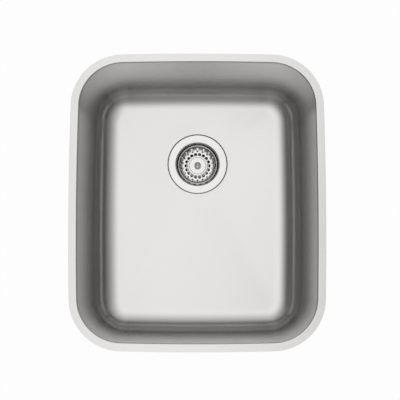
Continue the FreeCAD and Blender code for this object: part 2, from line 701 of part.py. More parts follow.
# ---------------------------------------------------------------- every piece, by name
def all_pieces():
    """Each separate piece of the sink, under its node's name."""
    arcs = rim_arcs()
    return {
        "bowl": bowl(),
        "right_wall_pad": wall_pad(arcs[0], SIDE_PAD_LENGTH),
        "back_wall_pad": wall_pad(arcs[2], END_PAD_LENGTH),
        "left_wall_pad": wall_pad(arcs[4], SIDE_PAD_LENGTH),
        "front_wall_pad": wall_pad(arcs[6], END_PAD_LENGTH),
        "floor_pad": floor_pad(),
        "flange_seal": flange_seal(),
        "strainer_body": strainer_body(),
        "floor_gasket": floor_gasket(),
        "friction_ring": friction_ring(),
        "locknut": locknut(),
        "outlet_spider": outlet_spider(),
        "tailpiece_washer": tailpiece_washer(),
        "tailpiece": tailpiece(),
        "coupling_nut": coupling_nut(),
        "basket_cup": basket_cup(),
        "basket_cap": basket_cap(),
        "basket_knob": basket_knob(),
        "basket_post": basket_post(),
        "post_spacer": post_spacer(),
        "stopper_plate": stopper_plate(),
        "stopper_seal": stopper_seal(),
        "stopper_washer": stopper_washer(),
        "post_nut": post_nut(),
        "snap_ring": snap_ring(),
    }


def main():
    """Write each piece to its own file and print its volume."""
    os.makedirs("parts", exist_ok=True)
    for name, shape in all_pieces().items():
        solids = shape.Solids
        kept = solids[0] if len(solids) == 1 else Part.makeCompound(solids)
        kept.exportStep(f"parts/{name}.step")
        box = kept.BoundBox
        print(f"{name:18s} solids {len(solids)} valid {kept.isValid()} faces {len(kept.Faces):3d} "
              f"volume {kept.Volume:10.1f} z {box.ZMin:8.2f} to {box.ZMax:8.2f}")


main()
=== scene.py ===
"""Undermount kitchen sink: smooth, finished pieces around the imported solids, and the studio."""

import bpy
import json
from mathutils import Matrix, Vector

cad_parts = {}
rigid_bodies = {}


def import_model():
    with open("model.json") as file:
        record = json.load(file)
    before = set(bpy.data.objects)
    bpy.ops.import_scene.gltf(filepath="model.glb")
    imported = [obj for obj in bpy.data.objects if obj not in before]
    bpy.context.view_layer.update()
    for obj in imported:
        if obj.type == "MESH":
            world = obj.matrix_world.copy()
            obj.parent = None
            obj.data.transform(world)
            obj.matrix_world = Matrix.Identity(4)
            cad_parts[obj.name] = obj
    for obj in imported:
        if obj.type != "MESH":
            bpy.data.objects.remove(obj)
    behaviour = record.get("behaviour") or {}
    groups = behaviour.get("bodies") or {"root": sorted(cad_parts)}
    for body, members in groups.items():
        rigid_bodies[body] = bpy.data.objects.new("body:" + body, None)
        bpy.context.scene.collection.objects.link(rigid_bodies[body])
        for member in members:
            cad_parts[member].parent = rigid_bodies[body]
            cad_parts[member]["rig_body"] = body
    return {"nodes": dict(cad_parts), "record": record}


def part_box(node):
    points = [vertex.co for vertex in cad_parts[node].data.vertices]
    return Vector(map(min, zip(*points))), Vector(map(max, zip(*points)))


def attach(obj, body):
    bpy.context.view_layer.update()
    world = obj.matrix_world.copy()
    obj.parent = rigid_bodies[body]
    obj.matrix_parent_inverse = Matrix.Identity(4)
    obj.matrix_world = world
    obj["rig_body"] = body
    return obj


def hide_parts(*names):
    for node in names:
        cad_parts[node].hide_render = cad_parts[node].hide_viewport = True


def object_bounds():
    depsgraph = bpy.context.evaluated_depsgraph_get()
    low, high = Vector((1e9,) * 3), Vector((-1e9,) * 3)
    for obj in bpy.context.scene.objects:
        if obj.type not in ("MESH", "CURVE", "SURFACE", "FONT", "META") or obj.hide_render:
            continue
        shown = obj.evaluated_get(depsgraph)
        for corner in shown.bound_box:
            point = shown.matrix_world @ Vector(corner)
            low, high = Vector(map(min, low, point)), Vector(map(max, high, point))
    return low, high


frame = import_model()
packed_box = [list(corner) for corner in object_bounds()]

import json
import math
from typing import NamedTuple

import bmesh
import bpy
from bpy.props import FloatProperty, FloatVectorProperty, IntProperty, PointerProperty
from mathutils import Matrix, Vector

bl_info = {
    "name": "Undermount sink",
    "version": (1, 0, 0),
    "blender": (4, 5, 0),
    "location": "View3D > Sidebar > Sink",
    "description": "Dresses the packed sink in smooth, finished pieces",
    "category": "Object",
}

MM = 0.001
EASE = 0.2 * MM              # rounding of an edge that has no bend of its own
ARC_STEP = math.radians(9)   # turn between two points of a bend
SMOOTH_EDGE = math.radians(32)
OVERLAP = 6 * MM             # how far a section runs on under the floor before it is cut
TENT_LEANS = [turn / 90 for turn in (0, 10, 20, 30, 42, 55, 70, 84)]
TENT_TONE = (1.0, 0.997, 0.990)
FLOOR_GLOW = 0.96            # share of the floor that shows the backdrop, and not its shadow
SLOT_OF = {row["node"]: row["material_slot"] for row in frame["record"]["subparts"]}


# ---- sizes and colours
def length(millimetres, description):
    """A length property whose default is given in millimetres."""
    return FloatProperty(description=description, default=millimetres * MM,
                         unit="LENGTH", subtype="DISTANCE", precision=5)


def angle(degrees, description):
    """An angle property whose default is given in degrees."""
    return FloatProperty(description=description, default=math.radians(degrees),
                         unit="ROTATION", subtype="ANGLE")


def count(default, description, least=1):
    """A whole number property."""
    return IntProperty(description=description, default=default, min=least)


def share(default, description):
    """A plain number property."""
    return FloatProperty(description=description, default=default)


def shares(*defaults):
    """The tent's light at each of TENT_LEANS past straight up, as shares of the overhead."""
    return FloatVectorProperty(description="Shares of the overhead light, down the tent's side",
                               size=len(defaults), default=defaults, min=0.0)


def colour(default, description):
    """A colour property."""
    return FloatVectorProperty(description=description, default=default, subtype="COLOR",
                               min=0.0, max=1.0)


def named(group):
    """Name each of a group's properties after its key."""
    for key, made in group.__annotations__.items():
        made.keywords["name"] = key.replace("_", " ").capitalize()
    return group


@named
class BowlSizes(bpy.types.PropertyGroup):
    """Sizes of the drawn bowl."""
    rim_width: length(451.0, "Across the rim, left to right")
    rim_length: length(525.0, "Across the rim, front to back")
    rim_trim: length(0.1, "The cut edge stays this far inside the outline")
    side_bow: length(7000.0, "Radius of the long sides")
    end_bow: length(5200.0, "Radius of the front and back ends")
    rim_corner: length(92.06, "Radius of the rim's corners")
    sheet: length(1.2, "Thickness of the steel")
    flange: length(15.0, "Rim edge to the wall's plane")
    lip_bend: length(3.0, "Bend from flange to wall")
    wall_lean: angle(5.5, "How far the walls lean in")
    floor_edge: length(199.0, "Rim to the floor where the cove ends")
    depth: length(203.0, "Rim to the floor beside the drain")
    cove: length(45.0, "Bend from wall to floor")
    drain_back: length(91.0, "Drain axis behind the bowl's middle")
    land: length(64.05, "Radius of the level ring round the drain")
    recess_top: length(58.0, "Radius of the pressed recess at its top")
    recess_foot: length(57.7, "Radius of the pressed recess at its foot")
    recess_depth: length(3.0, "How deep the recess is pressed")
    recess_bend: length(0.5, "Bends of the recess")
    hole: length(44.5, "Radius of the hole for the strainer")
    floor_rows: count(16, "Rows of faces across the floor", 2)
    corner_steps: count(34, "Faces round each corner", 4)
    side_steps: count(40, "Faces along each side", 4)


@named
class PadSizes(bpy.types.PropertyGroup):
    """Sizes of the ribs on the damping pads."""
    margin: length(11.0, "Plain border round the ribs")
    rib_step: length(7.0, "From one rib to the next")
    rib_radius: length(0.8, "Half the width of a rib")


@named
class StrainerSizes(bpy.types.PropertyGroup):
    """Sizes of the strainer body and what clamps it."""
    seal_width: length(9.0, "Width of the bedding seal")
    flange: length(57.15, "Radius of the strainer's flange")
    flange_top: length(203.3, "Rim down to the flange")
    flange_turn: length(2.2, "How far its edge is turned down")
    edge_bend: length(1.6, "Bend at its edge")
    mouth_bend: length(3.4, "Bend from flange to cup")
    cup: length(40.5, "Radius inside the cup")
    cup_depth: length(36.0, "Flange to the cup's corner")
    cup_bend: length(6.0, "Bend in the cup's corner")
    cone_fall: length(5.0, "Fall of the cup's bottom")
    outlet: length(21.8, "Radius inside the spigot")
    outlet_bend: length(2.5, "Bend from cone to spigot")
    spigot_foot: length(269.3, "Rim down to the spigot's end")
    sheet: length(1.2, "Thickness of the strainer's steel")
    thread_pitch: length(2.2, "From one turn of thread to the next")
    thread_height: length(0.55, "How far the rolled thread stands out")
    thread_gap: length(8.0, "Plain length under the flange, above the thread")


@named
class BasketSizes(bpy.types.PropertyGroup):
    """Sizes of the lift-out basket. Each depth is from the sink's rim down."""
    rim: length(38.0, "Radius of the rolled rim")
    rim_top: length(212.31, "Depth of the basket's rim")
    rim_turn: length(1.8, "How far the rim is turned down")
    rim_width: length(2.1, "Width of the rolled rim")
    rim_bend: length(1.0, "Bends of the rolled rim")
    taper: length(1.1, "How far the wall draws in")
    floor: length(231.31, "Depth of the basket's floor")
    bend: length(7.0, "Bend from wall to floor")
    sheet: length(0.8, "Thickness of the basket's steel")
    slot_width: length(4.2, "Width of each slot")
    slot_inner: length(27.0, "Radius of the slots' inner ends")
    slot_top: length(219.31, "Depth of the slots' tops")
    slots: count(18, "Number of slots")
    hole: length(3.3, "Radius of each drain hole")
    hole_circle: length(22.4, "Radius of the ring of holes")
    cap: length(20.0, "Radius of the disc over the basket's middle")
    cap_shoulder: length(229.71, "Depth of the disc's shoulder")
    cap_top: length(228.71, "Depth of the disc's top")
    cap_step: length(16.0, "Radius of the fine step on the disc")
    cap_bend: length(0.9, "Bends of the disc")
    knob_top: length(215.71, "Depth of the knob's top")
    knob_head: length(6.6, "Radius of the knob's widest part")
    knob_waist: length(3.9, "Radius of the knob's narrowest part")
    knob_foot: length(5.0, "Radius of the knob's foot")


@named
class OutletSizes(bpy.types.PropertyGroup):
    """Sizes of the post, the stopper and the outlet tube."""
    post: length(3.0, "Radius of the stem that carries the stopper")
    groove: length(2.2, "Radius of the groove for the snap ring")
    bore: length(3.1, "Radius of the holes that the stem goes through")
    spacer: length(5.0, "Radius of the sleeve on the stem")
    stopper: length(26.5, "Radius of the rubber stopper")
    plate: length(22.0, "Radius of the disc that backs the stopper")
    washer: length(12.0, "Radius of the washer under the stopper")
    snap_ring: length(4.1, "Radius of the snap ring")
    tube: length(19.05, "Radius of the tailpiece")
    tube_wall: length(0.9, "Wall of the tailpiece")
    tube_flange: length(22.4, "Radius of the flange at the tailpiece's top")
    tube_bend: length(1.9, "Bend from the tailpiece to its flange")
    tube_top: length(271.3, "Sink rim down to the tailpiece")
    tube_length: length(101.6, "Length of the tailpiece")


@named
class SinkColours(bpy.types.PropertyGroup):
    """Colours of the finishes."""
    satin_steel: colour((0.638, 0.634, 0.627), "Drawn bowl")
    bright_steel: colour((0.655, 0.652, 0.645), "Strainer and basket")
    plain_steel: colour((0.56, 0.56, 0.55), "Post, plate, washer and spider")
    chrome: colour((0.62, 0.63, 0.64), "Tailpiece and coupling nut")
    cast_zinc: colour((0.40, 0.41, 0.42), "Locknut")
    black_rubber: colour((0.022, 0.022, 0.023), "Stopper, gasket, snap ring")
    pad_rubber: colour((0.055, 0.056, 0.060), "Damping pads")
    fibre: colour((0.36, 0.23, 0.13), "Friction ring")
    white_plastic: colour((0.80, 0.80, 0.77), "Bedding seal, tube washer")


@named
class StudioSettings(bpy.types.PropertyGroup):
    """Camera and light."""
    distance: length(1950.0, "Camera from the aim point on the rim's plane")
    tilt: angle(5.4, "How far the camera stands to the front")
    aim: FloatVectorProperty(description="Middle of the picture",
                             default=(0.00475, 0.0018, 0.0), subtype="XYZ", unit="LENGTH")
    lens: share(100.3, "Focal length on a 36 mm wide picture, in millimetres")
    floor_reach: length(9000.0, "Floor from its middle to each side")
    tent_radius: length(3200.0, "Radius of the light tent")
    tent_reach: angle(84.0, "How far down the tent comes from straight up")
    overhead: share(1.37, "Light of the tent's roof, where 1 is white")
    to_right: shares(0.73, 0.56, 0.45, 0.32, 0.19, 0.10, 0.0)
    to_left: shares(0.94, 0.79, 0.53, 0.25, 0.07, 0.02, 0.0)
    to_back: shares(1.0, 0.98, 0.89, 0.73, 0.54, 0.36, 0.19)
    to_front: shares(0.98, 0.94, 0.81, 0.57, 0.33, 0.16, 0.0)
    backdrop: colour((1.0, 1.0, 1.0), "Floor and backdrop")


@named
class SinkSettings(bpy.types.PropertyGroup):
    """Everything a user may change."""
    bowl: PointerProperty(type=BowlSizes)
    pads: PointerProperty(type=PadSizes)
    strainer: PointerProperty(type=StrainerSizes)
    basket: PointerProperty(type=BasketSizes)
    outlet: PointerProperty(type=OutletSizes)
    colours: PointerProperty(type=SinkColours)
    studio: PointerProperty(type=StudioSettings)


def settings():
    """The sink's settings in this scene."""
    return bpy.context.scene.sink


# ---- sections
def on_circle(radius, turn):
    """A point of a circle round the origin."""
    return radius * math.cos(turn), radius * math.sin(turn)


def corner_ways(before, here, after):
    """The way into a corner, the way out of it, and the turn between them."""
    arrive = (here - before).normalized()
    leave = (after - here).normalized()
    turn = math.atan2(arrive.x * leave.y - arrive.y * leave.x, arrive.dot(leave))
    return arrive, leave, turn


def offset_corner(before, here, after, thickness):
    """The corner of a bent sheet's other face, to the left, and how the sheet turns there."""
    arrive, leave, turn = corner_ways(before, here, after)
    left_in = Vector((-arrive.y, arrive.x))
    left_out = Vector((-leave.y, leave.x))
    return here + (left_in + left_out) * (thickness / (1 + left_in.dot(left_out))), turn


def sheet_corners(corners, thickness):
    """The closed section of a bent sheet: one face follows the corners, the sheet lies left."""
    other = []
    for k, corner in enumerate(corners):
        here = Vector(corner[:2])
        before = Vector(corners[k - 1][:2]) if k else 2 * here - Vector(corners[1][:2])
        last = k == len(corners) - 1
        after = 2 * here - before if last else Vector(corners[k + 1][:2])
        moved, turn = offset_corner(before, here, after, thickness)
        bend = ()
        if len(corner) > 2:
            nearer = thickness if turn > 0 else -thickness
            bend = (max(corner[2] - nearer, EASE / 4),)
        other.append((moved.x, moved.y, *bend))
    return list(corners) + other[::-1]


def bend_points(before, here, after, bend):
    """Points of the arc that rounds one corner."""
    arrive, leave, turn = corner_ways(before, here, after)
    if abs(turn) < math.radians(1):
        return [here]
    first = here - arrive * (bend * math.tan(abs(turn) / 2))
    centre = here + (leave - arrive).normalized() * (bend / math.cos(turn / 2))
    steps = max(2, math.ceil(abs(turn) / ARC_STEP))
    spoke = first - centre
    return [centre + Matrix.Rotation(turn * k / steps, 2) @ spoke for k in range(steps + 1)]


def rounded(corners):
    """Points of a closed section (radius, height, bend), with holding points beside each bend."""
    arcs = []
    for k, corner in enumerate(corners):
        here = Vector(corner[:2])
        if here.x == 0:
            arcs.append([here])
            continue
        before = Vector(corners[k - 1][:2])
        after = Vector(corners[(k + 1) % len(corners)][:2])
        arcs.append(bend_points(before, here, after, corner[2] if len(corner) > 2 else EASE))
    points = []
    for arc, following in zip(arcs, arcs[1:] + arcs[:1]):
        points += arc
        start, end = arc[-1], following[0]
        run = end - start
        if run.length > 5 * EASE and (start.x or end.x):
            hold = run.normalized() * EASE
            points += [start + hold] if start.x else []
            points += [end - hold] if end.x else []
    return points


# ---- meshes and pieces
def linked(name, mesh):
    """A new object with a mesh, linked to the scene."""
    made = bpy.data.objects.new(name, mesh)
    bpy.context.scene.collection.objects.link(made)
    return made


def mesh_object(name, vertices, faces=()):
    """A new object whose mesh has the given points and faces."""
    mesh = bpy.data.meshes.new(name)
    mesh.from_pydata(vertices, [], faces)
    return linked(name, mesh)


def tidy_mesh(mesh, outward=True):
    """Merge doubled points and, on a closed shell, point the faces outwards."""
    work = bmesh.new()
    work.from_mesh(mesh)
    bmesh.ops.remove_doubles(work, verts=work.verts, dist=1e-6)
    if outward:
        bmesh.ops.recalc_face_normals(work, faces=work.faces)
    work.to_mesh(mesh)
    work.free()


def turned(name, corners, sides=144):
    """A section turned round the drain's axis."""
    section = rounded(corners)
    back = settings().bowl.drain_back
    vertices, faces, columns = [], [], []
    for k in range(sides):
        column = []
        for spot in section:
            if spot.x < 1e-9 and k:
                column.append(columns[0][len(column)])
                continue
            column.append(len(vertices))
            x, y = on_circle(spot.x, 2 * math.pi * k / sides)
            vertices.append((x, back + y, spot.y))
        columns.append(column)
    for column, following in zip(columns, columns[1:] + columns[:1]):
        for k in range(len(section)):
            step = (k + 1) % len(section)
            face = dict.fromkeys((column[k], following[k], following[step], column[step]))
            if len(face) > 2:
                faces.append(list(face))
    made = mesh_object(name, vertices, faces)
    tidy_mesh(made.data)
    return made


def hull(name, spots):
    """A closed convex mesh round some points."""
    made = mesh_object(name, spots)
    work = bmesh.new()
    work.from_mesh(made.data)
    bmesh.ops.convex_hull(work, input=work.verts)
    inside = [spot for spot in work.verts if not spot.link_faces]
    bmesh.ops.delete(work, geom=inside, context="VERTS")
    bmesh.ops.recalc_face_normals(work, faces=work.faces)
    work.to_mesh(made.data)
    work.free()
    return made


def smooth_copy(name, node):
    """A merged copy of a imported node's mesh."""
    made = linked(name, frame["nodes"][node].data.copy())
    tidy_mesh(made.data, outward=False)
    return made


def finish_piece(made, node, replaces=True):
    """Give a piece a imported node's finish and body, and let it stand for the node."""
    made.data.materials.clear()
    made.data.materials.append(finish_of(node))
    made.data.shade_smooth()
    made.data.set_sharp_from_angle(angle=SMOOTH_EDGE)
    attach(made, frame["nodes"][node]["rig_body"])
    if replaces:
        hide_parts(node)


def turned_piece(name, node, corners, sides=144):
    """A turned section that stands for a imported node."""
    finish_piece(turned(name, corners, sides), node)


def turned_ring(name, node, inner, outer, ease):
    """A flat ring with eased edges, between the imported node's own heights."""
    low, high = (corner.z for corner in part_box(node))
    turned_piece(name, node, [(inner, low, ease), (outer, low, ease),
                              (outer, high, ease), (inner, high, ease)])


def copied_piece(name, node):
    """A merged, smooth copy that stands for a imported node."""
    finish_piece(smooth_copy(name, node), node)


# ---- node trees
class Amount:
    """What a socket gives. Sums and products of numbers or vectors add their maths nodes."""

    def __init__(self, nodes, socket):
        self.nodes = nodes
        self.socket = socket
        self.maths = "ShaderNodeVectorMath" if socket.type == "VECTOR" else "ShaderNodeMath"

    def run(self, operation, *others, output=0):
        """This amount, and any others after it, through one maths node."""
        return self.nodes.add(self.maths, {"operation": operation},
                              dict(enumerate((self, *others))), output)

    def scaled(self, factor):
        """A vector times a number."""
        return self.nodes.add(self.maths, {"operation": "SCALE"}, {0: self, "Scale": factor})

    def parts(self):
        """A vector's three numbers."""
        return [self.nodes.add("ShaderNodeSeparateXYZ", inputs={0: self}, output=k)
                for k in range(3)]

    def after(self, operation, first):
        """A value, and then this amount, through one maths node."""
        return self.nodes.add(self.maths, {"operation": operation}, {0: first, 1: self})

    def __add__(self, other):
        return self.run("ADD", other)

    def __mul__(self, other):
        return self.run("MULTIPLY", other)

    def __sub__(self, other):
        return self.run("SUBTRACT", other)

    def __rsub__(self, other):
        return self.after("SUBTRACT", other)

    def __truediv__(self, other):
        return self.run("DIVIDE", other)

    def __rtruediv__(self, other):
        return self.after("DIVIDE", other)

    def __mod__(self, other):
        return self.run("MODULO", other)

    def __rmod__(self, other):
        return self.after("MODULO", other)

    __radd__, __rmul__ = __add__, __mul__


class Nodes:
    """A node tree under construction."""

    def __init__(self, tree):
        self.tree = tree

    def feed(self, socket, value):
        """Link a socket to an amount, or set its value."""
        if isinstance(value, Amount):
            self.tree.links.new(value.socket, socket)
        else:
            socket.default_value = value

    def add(self, kind, choices=None, inputs=None, output=0):
        """A node with its choices made first and its inputs filled, and one of its outputs."""
        node = self.tree.nodes.new(kind)
        for key, value in (choices or {}).items():
            if key == "stops":
                self.fill_ramp(node.color_ramp, value)
            else:
                setattr(node, key, value)
        for key, value in (inputs or {}).items():
            for each in value if isinstance(value, list) else [value]:
                self.feed(node.inputs[key], each)
        return Amount(self, node.outputs[output])

    def fill_ramp(self, ramp, stops):
        """Give a ramp smooth grey stops: (position, level)."""
        ramp.interpolation = "B_SPLINE"
        while len(ramp.elements) < len(stops):
            ramp.elements.new(0.5)
        for element, (position, level) in zip(ramp.elements, stops):
            element.position = position
            element.color = (level, level, level, 1.0)


class ShapeTree(Nodes):
    """A Geometry Nodes tree, whose named inputs become attributes of this object."""

    def __init__(self, name, **kinds):
        super().__init__(bpy.data.node_groups.new(name, "GeometryNodeTree"))
        entry = self.tree.nodes.new("NodeGroupInput")
        sockets = self.tree.interface
        sockets.new_socket("Geometry", in_out="OUTPUT", socket_type="NodeSocketGeometry")
        for key, kind in {"geometry": "Geometry", **kinds, "finish": "Material"}.items():
            title = key.replace("_", " ").title()
            sockets.new_socket(title, in_out="INPUT", socket_type="NodeSocket" + kind)
            setattr(self, key, Amount(self, entry.outputs[title]))

    def tube(self, curve, radius):
        """A closed tube with eight sides along a curve."""
        profile = self.add("GeometryNodeCurvePrimitiveCircle", inputs={"Resolution": 8,
                                                                       "Radius": radius})
        return self.add("GeometryNodeCurveToMesh", inputs={
            "Curve": curve, "Profile Curve": profile, "Fill Caps": True})

    def copies(self, **inputs):
        """Realized copies of an instance on points."""
        placed = self.add("GeometryNodeInstanceOnPoints",
                          inputs={key.capitalize(): value for key, value in inputs.items()})
        return self.add("GeometryNodeRealizeInstances", inputs={"Geometry": placed})

    def close(self, geometry):
        """End in Realize Instances and Set Material."""
        whole = self.add("GeometryNodeRealizeInstances", inputs={"Geometry": geometry})
        painted = self.add("GeometryNodeSetMaterial", inputs={"Geometry": whole,
                                                              "Material": self.finish})
        self.feed(self.tree.nodes.new("NodeGroupOutput").inputs[0], painted)
        return self.tree


def grown(made, tree, node, **values):
    """Run a tree on an object with its inputs set, and keep the plain result."""
    values["finish"] = finish_of(node)
    modifier = made.modifiers.new(tree.name, "NODES")
    modifier.node_group = tree
    for item in tree.interface.items_tree:
        key = item.name.lower().replace(" ", "_")
        if item.in_out == "INPUT" and key in values:
            modifier[item.identifier] = values[key]
    made.update_tag()
    bpy.context.view_layer.update()
    seen = made.evaluated_get(bpy.context.evaluated_depsgraph_get())
    plain = bpy.data.meshes.new_from_object(seen)
    made.modifiers.clear()
    made.data = plain


# ---- finishes
class Look(NamedTuple):
    """How a finish varies with a broad and a fine noise."""
    broad: tuple          # how much the broad noise is stretched each way
    fine: tuple           # the same of the fine noise, or None for rings round the drain
    tint: tuple           # share of broad, share of fine, darkest shade, palest shade
    rough: tuple          # share of broad, share of fine, least roughness
    relief: float         # height of the fine noise, in metres
    metal: float = 0.0
    detail: float = 3.0   # of the fine noise


LOOKS = {
    # drawn sheet with a fine satin grain along the bowl's length
    "satin_steel": Look((9, 7, 8), (1500, 70, 1500), (0.5, 0.5, 0.98, 1.02),
                        (0.03, 0.03, 0.225), 0.000002, metal=1.0, detail=2.0),
    # polished steel with faint turning rings
    "bright_steel": Look((60, 60, 60), None, (0.6, 0.4, 0.95, 1.04),
                         (0.06, 0.04, 0.15), 0.000002, metal=1.0, detail=2.0),
    # bare stamped steel
    "plain_steel": Look((90, 90, 90), (300, 2400, 2400), (1.0, 0.0, 0.9, 1.08),
                        (0.12, 0.06, 0.26), 0.000004, metal=1.0),
    # bright plating with a faint haze
    "chrome": Look((45, 45, 20), (45, 45, 20), (1.0, 0.0, 0.97, 1.03),
                   (0.06, 0.0, 0.03), 0.00002, metal=1.0),
    # die-cast metal: dull, slightly uneven, darker in its hollows
    "cast_zinc": Look((60, 60, 30), (420, 420, 420), (0.7, 0.3, 0.8, 1.15),
                      (0.0, 0.2, 0.38), 0.00006, metal=0.9, detail=4.0),
    # moulded rubber with a dusty bloom and a fine skin
    "black_rubber": Look((35, 35, 35), (1300, 1300, 1300), (0.8, 0.2, 0.8, 1.35),
                         (0.14, 0.0, 0.43), 0.00003, detail=2.0),
    "pad_rubber": Look((35, 35, 35), (1300, 1300, 1300), (0.8, 0.2, 0.8, 1.35),
                       (0.14, 0.0, 0.65), 0.00003, detail=2.0),
    # pressed fibre board with long flecks
    "fibre": Look((50, 50, 50), (260, 900, 900), (0.3, 0.7, 0.72, 1.25),
                  (0.0, 0.15, 0.72), 0.00005, detail=4.0),
    # soft white plastic with a moulded skin
    "white_plastic": Look((70, 70, 70), (900, 900, 900), (1.0, 0.0, 0.96, 1.03),
                          (0.1, 0.0, 0.36), 0.00001),
}


class Finish(Nodes):
    """A material under construction, on a Principled shader."""

    def __init__(self, name, tone, metal=0.0):
        self.material = bpy.data.materials.new(name + "_finish")
        self.material.use_nodes = True
        super().__init__(self.material.node_tree)
        self.shader = self.tree.nodes["Principled BSDF"]
        self.tone = (*tone, 1.0)
        self.material.diffuse_color = self.tone
        self.shade("Base Color", self.tone)
        self.shade("Metallic", metal)
        self.place = self.add("ShaderNodeTexCoord", output="Object")

    def shade(self, name, value):
        """Feed one of the shader's sockets."""
        self.feed(self.shader.inputs[name], value)

    def noise(self, stretch, detail=3.0):
        """Noise, from 0 to 1, stretched by a scale for each direction."""
        mapped = self.add("ShaderNodeMapping", inputs={"Vector": self.place, "Scale": stretch})
        return self.add("ShaderNodeTexNoise", inputs={"Vector": mapped, "Scale": 1.0,
                                                      "Detail": detail})

    def rings(self, detail):
        """Noise in fine rings round the drain's axis."""
        flat = self.place.run("MULTIPLY_ADD", (1, 1, 0), (0, -settings().bowl.drain_back, 0))
        away = flat.run("LENGTH", output="Value")
        return self.add("ShaderNodeTexNoise", {"noise_dimensions": "1D"},
                        {"W": away * 2600, "Scale": 1.0, "Detail": detail})

    def vary(self, look):
        """Vary the tint, the roughness and the relief."""
        broad = self.noise(look.broad)
        fine = self.noise(look.fine, look.detail) if look.fine else self.rings(look.detail)
        of_broad, of_fine, dark, pale = look.tint
        dark, pale = ((*(min(channel * level, 1.0) for channel in self.tone[:3]), 1.0)
                      for level in (dark, pale))
        self.shade("Base Color", self.add("ShaderNodeMix", {"data_type": "RGBA"}, {
            "Factor": broad * of_broad + fine * of_fine, 6: dark, 7: pale}, output=2))
        of_broad, of_fine, least = look.rough
        self.shade("Roughness", broad * of_broad + fine * of_fine + least)
        self.shade("Normal", self.add("ShaderNodeBump", inputs={
            "Height": fine, "Distance": look.relief, "Strength": 1.0}))

    def surface(self, shader):
        """Use another shader in place of the Principled one."""
        self.feed(self.tree.nodes["Material Output"].inputs["Surface"], shader)


def finish_of(node):
    """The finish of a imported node's slot, made the first time it is asked for."""
    name = SLOT_OF[node]
    if name + "_finish" not in bpy.data.materials:
        Finish(name, getattr(settings().colours, name), LOOKS[name].metal).vary(LOOKS[name])
    return bpy.data.materials[name + "_finish"]


# ---- the bowl
def rim_arcs():
    """The rim's eight tangent arcs, anticlockwise: (x, y, first turn, radius, sweep, steps)."""
    sizes = settings().bowl
    side_x = sizes.side_bow - sizes.rim_width / 2
    end_y = sizes.end_bow - sizes.rim_length / 2
    side_reach = sizes.side_bow - sizes.rim_corner
    end_reach = sizes.end_bow - sizes.rim_corner
    span = math.hypot(side_x, end_y)
    along = (side_reach ** 2 - end_reach ** 2 + span ** 2) / (2 * span)
    across = math.sqrt(side_reach ** 2 - along ** 2)
    unit_x, unit_y = side_x / span, -end_y / span
    corner_x = -side_x + unit_x * along - unit_y * across
    corner_y = unit_y * along + unit_x * across
    side_turn = math.atan2(corner_y, corner_x + side_x)
    end_turn = math.atan2(corner_x, corner_y + end_y)
    quarter = math.pi / 2
    side = (sizes.side_bow, 2 * side_turn, sizes.side_steps)
    end = (sizes.end_bow, 2 * end_turn, sizes.side_steps)
    bend = (sizes.rim_corner, quarter - side_turn - end_turn, sizes.corner_steps)
    half = [
        (-side_x, 0, -side_turn, *side),
        (corner_x, corner_y, side_turn, *bend),
        (0, -end_y, quarter - end_turn, *end),
        (-corner_x, corner_y, quarter + end_turn, *bend),
    ]
    return half + [(-x, -y, math.pi + first, *rest) for x, y, first, *rest in half]


def rim_line():
    """A helper mesh: one point for each step round the rim, and the way inwards from it."""
    spots, inward = [], []
    for centre_x, centre_y, first, radius, sweep, steps in rim_arcs():
        for k in range(steps):
            turn = first + sweep * k / steps
            x, y = on_circle(radius, turn)
            spots.append((centre_x + x, centre_y + y, 0))
            inward += [-math.cos(turn), -math.sin(turn), 0]
    made = mesh_object("rim_line", spots)
    made.data.attributes.new("inward", "FLOAT_VECTOR", "POINT").data.foreach_set("vector", inward)
    return made


def bowl_section():
    """Stations of the closed bowl section: (inset from the rim, radius at the drain, share, z).

    A share of 0 lies along the rim's outline, 1 round the drain, and between them is floor.
    """
    sizes = settings().bowl
    reach = sizes.cove * math.tan((math.pi / 2 - sizes.wall_lean) / 2)
    wall_foot = sizes.flange + sizes.floor_edge * math.tan(sizes.wall_lean)
    floor_inset = wall_foot + reach
    recess = -sizes.depth - sizes.recess_depth
    edge = rounded(sheet_corners([
        (-floor_inset - OVERLAP, -sizes.floor_edge),
        (-wall_foot, -sizes.floor_edge, sizes.cove),
        (-sizes.flange, 0, sizes.lip_bend),
        (-sizes.rim_trim, 0),
    ], -sizes.sheet))
    drain = rounded(sheet_corners([
        (sizes.land + OVERLAP, -sizes.depth),
        (sizes.recess_top, -sizes.depth, sizes.recess_bend),
        (sizes.recess_foot, recess, sizes.recess_bend),
        (sizes.hole, recess),
    ], sizes.sheet))
    around_rim = [(-spot.x, 0, 0, spot.y) for spot in edge if spot.x > -floor_inset]
    around_drain = [(0, spot.x, 1, spot.y) for spot in drain if spot.x < sizes.land]
    upper, lower = [], []
    for k in range(sizes.floor_rows + 1):
        part = k / sizes.floor_rows
        height = -sizes.floor_edge + part * (sizes.floor_edge - sizes.depth)
        upper.append((floor_inset, sizes.land, part, height))
        lower.append((floor_inset, sizes.land, part, height - sizes.sheet))
    return around_rim + lower + around_drain[::-1] + upper[::-1], floor_inset


def section_object(stations):
    """A helper mesh that holds the bowl's section, one point for each station."""
    made = mesh_object("bowl_section", [(inset, radius, z) for inset, radius, _, z in stations])
    made.data.attributes.new("share", "FLOAT", "POINT").data.foreach_set(
        "value", [part for _, _, part, _ in stations])
    return made


